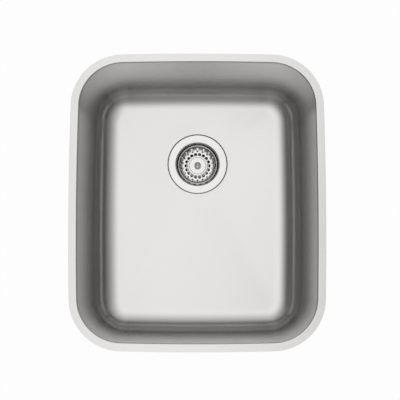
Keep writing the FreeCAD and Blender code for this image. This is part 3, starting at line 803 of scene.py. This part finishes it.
def drawn_bowl_tree():
    """Stations of a section carried round the rim's outline, and drawn in to the drain."""
    shape = ShapeTree("drawn bowl", rim_line="Object", section="Object", around="Int",
                      along="Int", floor_inset="Float", drain="Vector")
    rim, section = (shape.add("GeometryNodeObjectInfo", inputs={"Object": helper},
                              output="Geometry") for helper in (shape.rim_line, shape.section))
    rows = shape.along + 1.0
    grid = shape.add("GeometryNodeMeshGrid", inputs={"Vertices X": shape.around + 1.0,
                                                     "Vertices Y": rows})
    index = shape.add("GeometryNodeInputIndex")
    column = (index / rows).run("FLOOR") % shape.around
    row = index % rows % shape.along
    where = shape.add("GeometryNodeInputPosition")

    def sampled(geometry, value, place, kind="FLOAT_VECTOR"):
        return shape.add("GeometryNodeSampleIndex", {"data_type": kind},
                         {"Geometry": geometry, "Value": value, "Index": place})

    def kept(name, kind):
        return shape.add("GeometryNodeInputNamedAttribute", {"data_type": kind}, {"Name": name})

    edge = sampled(rim, where, column)
    inward = sampled(rim, kept("inward", "FLOAT_VECTOR"), column)
    part = sampled(section, kept("share", "FLOAT"), row, "FLOAT")
    inset, radius, height = sampled(section, where, row).parts()
    cove_end = edge + inward.scaled(shape.floor_inset)
    ray = (cove_end - shape.drain).run("NORMALIZE")
    level = shape.add("ShaderNodeMix", {"data_type": "VECTOR"}, {
        "Factor": part, 4: edge + inward.scaled(inset), 5: shape.drain + ray.scaled(radius)},
        output=1)
    raised = level + shape.add("ShaderNodeCombineXYZ", inputs={"Z": height})
    drawn = shape.add("GeometryNodeSetPosition", inputs={"Geometry": grid, "Position": raised})
    return shape.close(shape.add("GeometryNodeMergeByDistance", inputs={
        "Geometry": drawn, "Distance": 0.001 * MM}))


class SINK_OT_bowl(bpy.types.Operator):
    """Draw the bowl from its rim's outline and its section"""
    bl_idname = "sink.bowl"
    bl_label = "Bowl"

    def execute(self, context):
        stations, floor_inset = bowl_section()
        rim, section = rim_line(), section_object(stations)
        made = mesh_object("drawn_bowl", [(0, 0, 0)])
        grown(made, drawn_bowl_tree(), "bowl", rim_line=rim, section=section,
              around=len(rim.data.vertices), along=len(stations), floor_inset=floor_inset,
              drain=(0.0, settings().bowl.drain_back, 0.0))
        tidy_mesh(made.data)
        for helper in (rim, section):
            bpy.data.objects.remove(helper)
        finish_piece(made, "bowl")
        return {"FINISHED"}


# ---- damping pads
def ribbed_pad_tree():
    """Parallel ribs laid on a pad's outer face and joined to it."""
    shape = ShapeTree("ribbed pad", middle="Vector", half_rib="Vector", rib_step="Vector",
                      rows="Int", toward_pad="Vector", rib_radius="Float")
    line = shape.add("GeometryNodeCurvePrimitiveLine", inputs={
        "Start": shape.half_rib.scaled(-1.0), "End": shape.half_rib})
    rib = shape.add("GeometryNodeResampleCurve", inputs={"Curve": line, "Count": 24})
    back = shape.rib_step.scaled((shape.rows - 1.0) * -0.5)
    places = shape.add("GeometryNodeMeshLine", inputs={
        "Count": shape.rows, "Start Location": shape.middle + back, "Offset": shape.rib_step})
    landed = shape.add("GeometryNodeRaycast", inputs={
        "Target Geometry": shape.geometry, "Ray Direction": shape.toward_pad,
        "Ray Length": 100 * MM}, output="Hit Position")
    laid = shape.add("GeometryNodeSetPosition", inputs={
        "Geometry": shape.copies(points=places, instance=rib), "Position": landed})
    return shape.close(shape.add("GeometryNodeJoinGeometry", inputs={
        0: [shape.tube(laid, shape.rib_radius), shape.geometry]}))


class SINK_OT_pads(bpy.types.Operator):
    """Lay ribs on the damping pads"""
    bl_idname = "sink.pads"
    bl_label = "Damping pads"

    def execute(self, context):
        tree = ribbed_pad_tree()
        x, y, z = Matrix.Identity(3)
        for side, along, across, toward in (("right_wall", y, z, -x), ("back_wall", x, z, -y),
                                            ("left_wall", y, z, x), ("front_wall", x, z, y),
                                            ("floor", x, y, z)):
            self.ribbed(tree, f"{side}_pad", along, across, toward)
        return {"FINISHED"}

    def ribbed(self, tree, node, along, across, toward):
        """One pad with its ribs: along is their direction, toward the way from outside to it."""
        sizes = settings().pads
        low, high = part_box(node)
        size = high - low
        long_half = abs(size.dot(along)) / 2 - sizes.margin
        outside = toward * (abs(size.dot(toward)) / 2 + 10 * MM)
        made = smooth_copy(f"ribbed_{node}", node)
        grown(made, tree, node, middle=(low + high) / 2 - outside, half_rib=along * long_half,
              rib_step=across * sizes.rib_step, toward_pad=toward, rib_radius=sizes.rib_radius,
              rows=int((abs(size.dot(across)) - 2 * sizes.margin) / sizes.rib_step) + 1)
        finish_piece(made, node)


# ---- the strainer
def cone_height(radius):
    """The height of the cup's sloping bottom at a radius."""
    sizes = settings().strainer
    part = (sizes.cup - radius) / (sizes.cup - sizes.outlet)
    return -sizes.flange_top - sizes.cup_depth - sizes.cone_fall * part


def rolled_thread_tree():
    """A rounded ridge that winds up a tube."""
    shape = ShapeTree("rolled thread", tube_radius="Float", pitch="Float", turns="Float",
                      ridge_height="Float", foot="Vector")
    coil = shape.add("GeometryNodeCurveSpiral", inputs={
        "Resolution": 72, "Rotations": shape.turns, "Start Radius": shape.tube_radius,
        "End Radius": shape.tube_radius, "Height": shape.pitch * shape.turns})
    upright = shape.add("GeometryNodeSetCurveNormal", {"mode": "Z_UP"}, {"Curve": coil})
    return shape.close(shape.add("GeometryNodeTransform", inputs={
        "Geometry": shape.tube(upright, shape.ridge_height), "Translation": shape.foot}))


class SINK_OT_strainer(bpy.types.Operator):
    """Turn the strainer body and wind its threads"""
    bl_idname = "sink.strainer"
    bl_label = "Strainer body"

    def execute(self, context):
        sizes = settings().strainer
        cone_top, cone_foot = cone_height(sizes.cup), cone_height(sizes.outlet)
        turned_piece("strainer_pressing", "strainer_body", sheet_corners([
            (sizes.flange, -sizes.flange_top - sizes.flange_turn),
            (sizes.flange, -sizes.flange_top, sizes.edge_bend),
            (sizes.cup, -sizes.flange_top, sizes.mouth_bend),
            (sizes.cup, cone_top, sizes.cup_bend),
            (sizes.outlet, cone_foot, sizes.outlet_bend),
            (sizes.outlet, -sizes.spigot_foot),
        ], sizes.sheet), 216)
        tree = rolled_thread_tree()
        for name, inside, low, high in (
                ("cup_thread", sizes.cup, cone_top + sizes.cup_bend,
                 -sizes.flange_top - sizes.thread_gap),
                ("spigot_thread", sizes.outlet, -sizes.spigot_foot + sizes.thread_pitch,
                 cone_foot - 3 * sizes.outlet_bend)):
            made = mesh_object(name, [(0, 0, 0)])
            grown(made, tree, "strainer_body", tube_radius=inside + sizes.sheet,
                  pitch=sizes.thread_pitch, turns=float(int((high - low) / sizes.thread_pitch)),
                  ridge_height=sizes.thread_height,
                  foot=(0.0, settings().bowl.drain_back, low))
            tidy_mesh(made.data)
            finish_piece(made, "strainer_body", replaces=False)
        return {"FINISHED"}


class SINK_OT_clamping(bpy.types.Operator):
    """Make the seal, gasket, friction ring and locknut that clamp the strainer"""
    bl_idname = "sink.clamping"
    bl_label = "Clamping stack"

    def execute(self, context):
        for name, node, ease in (("bedding_seal", "flange_seal", 0.3 * MM),
                                 ("gasket_ring", "floor_gasket", 0.7 * MM),
                                 ("fibre_ring", "friction_ring", 0.1 * MM)):
            low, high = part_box(node)
            outer = (high.x - low.x) / 2
            inner = outer - settings().strainer.seal_width if node == "flange_seal" else (
                settings().bowl.hole - 1 * MM)
            turned_ring(name, node, inner, outer, ease)
        copied_piece("cast_locknut", "locknut")
        return {"FINISHED"}


# ---- the basket
def slot_punch():
    """A helper mesh: the punch of one slot, along +X from the drain's axis."""
    sizes = settings().basket
    half = sizes.slot_width / 2
    low = -sizes.floor - 3 * sizes.sheet
    shoulder = -sizes.slot_top - half
    end = sizes.slot_inner + half
    half_circle = [math.pi * k / 12 for k in range(13)]
    arch = [(y, shoulder + z) for y, z in (on_circle(half, turn) for turn in half_circle)]
    spots = [(reach, y, z) for reach in (end, sizes.rim + 1 * MM)
             for y, z in [(half, low)] + arch + [(-half, low)]]
    for turn in half_circle:
        x, y = on_circle(half, math.pi / 2 + turn)
        spots += [(end + x, y, z) for z in (low, shoulder)]
    return hull("slot_punch", spots)


def hole_punch():
    """A helper mesh: the punch of one drain hole, on the axis."""
    sizes = settings().basket
    return hull("hole_punch", [
        (*on_circle(sizes.hole, math.pi * k / 12), z) for k in range(24)
        for z in (-sizes.floor - 3 * sizes.sheet, -sizes.floor + sizes.sheet)])


def pierced_basket_tree():
    """A turned cup with a punch repeated round it for its slots and one for its holes."""
    shape = ShapeTree("pierced basket", slot_punch="Object", hole_punch="Object", slots="Int",
                      hole_circle="Float", drain="Vector")
    each = 2 * math.pi / shape.slots
    index = shape.add("GeometryNodeInputIndex")
    punches = []
    for punch, lead, reach in ((shape.slot_punch, 0.0, 0.0),
                               (shape.hole_punch, 0.5, shape.hole_circle)):
        turn = (index + lead) * each + math.pi / 2
        spoke = shape.add("ShaderNodeCombineXYZ", inputs={"X": turn.run("COSINE") * reach,
                                                          "Y": turn.run("SINE") * reach})
        points = shape.add("GeometryNodePoints", inputs={
            "Count": shape.slots, "Position": shape.drain + spoke})
        tool = shape.add("GeometryNodeObjectInfo", inputs={"Object": punch}, output="Geometry")
        punches.append(shape.copies(
            points=points, instance=tool,
            rotation=shape.add("ShaderNodeCombineXYZ", inputs={"Z": turn})))
    both = shape.add("GeometryNodeJoinGeometry", inputs={0: punches})
    return shape.close(shape.add(
        "GeometryNodeMeshBoolean", {"operation": "DIFFERENCE", "solver": "EXACT"},
        {"Mesh 1": shape.geometry, "Mesh 2": both}))


class SINK_OT_basket(bpy.types.Operator):
    """Turn the basket, pierce it, and make its cap and knob"""
    bl_idname = "sink.basket"
    bl_label = "Basket"

    def execute(self, context):
        sizes = settings().basket
        bore = settings().outlet.bore
        wall = sizes.rim - sizes.rim_width
        cup = turned("pierced_basket", sheet_corners([
            (sizes.rim, -sizes.rim_top - sizes.rim_turn),
            (sizes.rim, -sizes.rim_top, sizes.rim_bend),
            (wall, -sizes.rim_top, sizes.rim_bend),
            (wall - sizes.taper, -sizes.floor, sizes.bend),
            (bore, -sizes.floor),
        ], sizes.sheet), 216)
        punches = slot_punch(), hole_punch()
        grown(cup, pierced_basket_tree(), "basket_cup", slot_punch=punches[0],
              hole_punch=punches[1], slots=sizes.slots, hole_circle=sizes.hole_circle,
              drain=(0.0, settings().bowl.drain_back, 0.0))
        for punch in punches:
            bpy.data.objects.remove(punch)
        finish_piece(cup, "basket_cup")
        turned_piece("stepped_cap", "basket_cap", sheet_corners([
            (sizes.cap, -sizes.floor),
            (sizes.cap, -sizes.cap_shoulder, sizes.cap_bend),
            (sizes.cap_step + 0.6 * MM, -sizes.cap_shoulder + 0.2 * MM),
            (sizes.cap_step, -sizes.cap_top, sizes.cap_bend),
            (bore, -sizes.cap_top),
        ], sizes.sheet))
        top, foot = -sizes.knob_top, -sizes.cap_top
        turned_piece("turned_knob", "basket_knob", [
            (0, foot),
            (sizes.knob_foot, foot, 0.5 * MM),
            (sizes.knob_foot, foot + 1.6 * MM, 0.5 * MM),
            (sizes.knob_waist, foot + 3.9 * MM, 2 * MM),
            (sizes.knob_waist, foot + 7.8 * MM, 2 * MM),
            (sizes.knob_head, top - 4.4 * MM, 1 * MM),
            (sizes.knob_head - 0.7 * MM, top - 2.5 * MM, 1 * MM),
            (0.8 * MM, top - 0.1 * MM, 2 * MM),
            (0, top),
        ], 96)
        return {"FINISHED"}


class SINK_OT_stopper(bpy.types.Operator):
    """Make the post and the stopper's stack, with the snap ring and the spider it grips"""
    bl_idname = "sink.stopper"
    bl_label = "Post and stopper"

    def execute(self, context):
        sizes = settings().outlet
        bore, groove_bend, gap = sizes.bore, 0.1 * MM, 0.05 * MM
        tip, crown = (corner.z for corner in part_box("basket_post"))
        ring_low, ring_high = (corner.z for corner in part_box("snap_ring"))
        turned_piece("grooved_post", "basket_post", [
            (0, tip),
            (sizes.post, tip, 1.2 * MM),
            (sizes.post, ring_low - gap, groove_bend),
            (sizes.groove, ring_low - gap, groove_bend),
            (sizes.groove, ring_high + gap, groove_bend),
            (sizes.post, ring_high + gap, groove_bend),
            (sizes.post, crown),
            (0, crown),
        ], 64)
        for name, node, outer in (("spacer_sleeve", "post_spacer", sizes.spacer),
                                  ("backing_plate", "stopper_plate", sizes.plate),
                                  ("steel_washer", "stopper_washer", sizes.washer)):
            turned_ring(name, node, bore, outer, 0.15 * MM)
        foot, top = (corner.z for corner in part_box("stopper_seal"))
        turned_piece("rubber_stopper", "stopper_seal", [
            (bore, foot),
            (settings().strainer.outlet + 0.7 * MM, foot),
            (sizes.stopper, cone_height(sizes.stopper) + 0.3 * MM, 0.3 * MM),
            (sizes.stopper, top, 0.8 * MM),
            (bore, top),
        ])
        turned_piece("rubber_snap_ring", "snap_ring", [
            (sizes.groove + 0.1 * MM, ring_low),
            (sizes.snap_ring, ring_low, 1 * MM),
            (sizes.snap_ring, ring_high, 1 * MM),
            (sizes.groove + 0.1 * MM, ring_high),
        ], 64)
        copied_piece("clamping_nut", "post_nut")
        copied_piece("welded_spider", "outlet_spider")
        return {"FINISHED"}


class SINK_OT_outlet(bpy.types.Operator):
    """Make the tailpiece, its washer and its coupling nut"""
    bl_idname = "sink.outlet"
    bl_label = "Outlet tube"

    def execute(self, context):
        sizes = settings().outlet
        bore = sizes.tube - sizes.tube_wall
        turned_piece("flanged_tube", "tailpiece", sheet_corners([
            (sizes.tube_flange, -sizes.tube_top),
            (bore, -sizes.tube_top, sizes.tube_bend),
            (bore, -sizes.tube_top - sizes.tube_length),
        ], sizes.tube_wall))
        low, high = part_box("tailpiece_washer")
        turned_ring("tube_washer", "tailpiece_washer", bore, (high.x - low.x) / 2, 0.3 * MM)
        copied_piece("hexagon_coupling", "coupling_nut")
        return {"FINISHED"}


# ---- the studio
def studio_object(name, vertices, faces, finish):
    """A stage object with its finish."""
    made = mesh_object(name, vertices, faces)
    made.data.materials.append(finish.material)
    return made


def pale_floor():
    """Floor finish: the backdrop's colour as it is seen and reflected, with soft shadows."""
    studio = settings().studio
    finish = Finish("pale_floor", studio.backdrop)
    finish.shade("Roughness", 0.9)
    seen, mirrored, through = (finish.add("ShaderNodeLightPath", output=f"Is {kind} Ray")
                               for kind in ("Camera", "Glossy", "Transmission"))
    glow = finish.add("ShaderNodeEmission", inputs={"Color": (*studio.backdrop, 1.0),
                                                    "Strength": 1.0})
    finish.surface(finish.add("ShaderNodeMixShader", inputs={
        "Fac": seen.run("MAXIMUM", mirrored).run("MAXIMUM", through) * FLOOR_GLOW,
        1: Amount(finish, finish.shader.outputs[0]), 2: glow}))
    return finish


def tent_light():
    """Light tent finish: bright overhead, and falling off to each side at its own rate."""
    studio = settings().studio
    finish = Finish("tent_light", (1.0, 1.0, 1.0))
    across, along, up = finish.place.run("NORMALIZE").parts()
    lean = up.run("ARCCOSINE") * (2 / math.pi)
    flat = across * across + along * along + 0.000001
    level = 0.0
    for way, falls in ((across, studio.to_right), (across * -1.0, studio.to_left),
                       (along, studio.to_back), (along * -1.0, studio.to_front)):
        facing = way.run("MAXIMUM", 0.0)
        fall = finish.add("ShaderNodeValToRGB", {"stops": list(zip(TENT_LEANS, (1.0, *falls)))},
                          {"Fac": lean})
        level = facing * facing / flat * fall + level
    tone = finish.add("ShaderNodeVectorMath", {"operation": "SCALE"},
                      {0: TENT_TONE, "Scale": level})
    finish.surface(finish.add("ShaderNodeEmission", inputs={"Color": tone,
                                                            "Strength": studio.overhead}))
    return finish


class SINK_OT_stage(bpy.types.Operator):
    """Set up the floor, the light tent, the backdrop and the camera"""
    bl_idname = "sink.stage"
    bl_label = "Studio"

    def execute(self, context):
        studio = settings().studio
        low = packed_box[0][2] - 0.5 * MM
        half = studio.floor_reach
        studio_object("studio_floor", [(-half, -half, low), (half, -half, low), (half, half, low),
                                       (-half, half, low)], [(0, 1, 2, 3)], pale_floor())
        self.tent(studio)
        world = context.scene.world = bpy.data.worlds.new("plain_backdrop")
        world.use_nodes = True
        plain = world.node_tree.nodes["Background"]
        plain.inputs["Color"].default_value = (*studio.backdrop, 1.0)
        plain.inputs["Strength"].default_value = 1.0
        camera = linked("picture_camera", bpy.data.cameras.new("picture_camera"))
        camera.data.lens = studio.lens
        camera.data.sensor_width = 36.0
        camera.data.clip_end = 60.0
        camera.rotation_euler = (studio.tilt, 0, 0)
        camera.location = Vector(studio.aim) + studio.distance * Vector(
            (0, -math.sin(studio.tilt), math.cos(studio.tilt)))
        context.scene.camera = camera
        context.scene.view_settings.view_transform = "Standard"
        return {"FINISHED"}

    def tent(self, studio):
        """A dome over the sink that the camera doesn't see."""
        rings, sides = 14, 48
        vertices = [(0, 0, studio.tent_radius)]
        for ring in range(1, rings + 1):
            flat, rise = on_circle(studio.tent_radius,
                                   math.pi / 2 - ring / rings * studio.tent_reach)
            vertices += [(*on_circle(flat, 2 * math.pi * k / sides), rise) for k in range(sides)]
        faces = [(0, 1 + (k + 1) % sides, 1 + k) for k in range(sides)]
        for near in range(1, 1 + (rings - 1) * sides, sides):
            far = near + sides
            faces += [(near + k, near + (k + 1) % sides, far + (k + 1) % sides, far + k)
                      for k in range(sides)]
        studio_object("light_tent", vertices, faces, tent_light()).visible_camera = False


# ---- panel and registration
STEPS = (SINK_OT_bowl, SINK_OT_pads, SINK_OT_strainer, SINK_OT_clamping, SINK_OT_basket,
         SINK_OT_stopper, SINK_OT_outlet, SINK_OT_stage)
GROUPS = (BowlSizes, PadSizes, StrainerSizes, BasketSizes, OutletSizes, SinkColours,
          StudioSettings, SinkSettings)


class SINK_PT_pieces(bpy.types.Panel):
    """The sink's pieces and sizes"""
    bl_idname = "SINK_PT_pieces"
    bl_label = "Undermount sink"
    bl_space_type = "VIEW_3D"
    bl_region_type = "UI"
    bl_category = "Sink"

    def draw(self, context):
        for step in STEPS:
            self.layout.operator(step.bl_idname)
        for name, group in SinkSettings.__annotations__.items():
            part = self.layout.box()
            part.label(text=name.capitalize())
            for size in group.keywords["type"].__annotations__:
                part.prop(getattr(context.scene.sink, name), size)


def register():
    for kind in GROUPS + STEPS + (SINK_PT_pieces,):
        bpy.utils.register_class(kind)
    bpy.types.Scene.sink = PointerProperty(type=SinkSettings)


def unregister():
    del bpy.types.Scene.sink
    for kind in reversed(GROUPS + STEPS + (SINK_PT_pieces,)):
        bpy.utils.unregister_class(kind)


def main():
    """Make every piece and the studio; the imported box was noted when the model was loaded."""
    register()
    for step in STEPS:
        area, name = step.bl_idname.split(".")
        getattr(getattr(bpy.ops, area), name)()


if __name__ == "__main__":
    main()
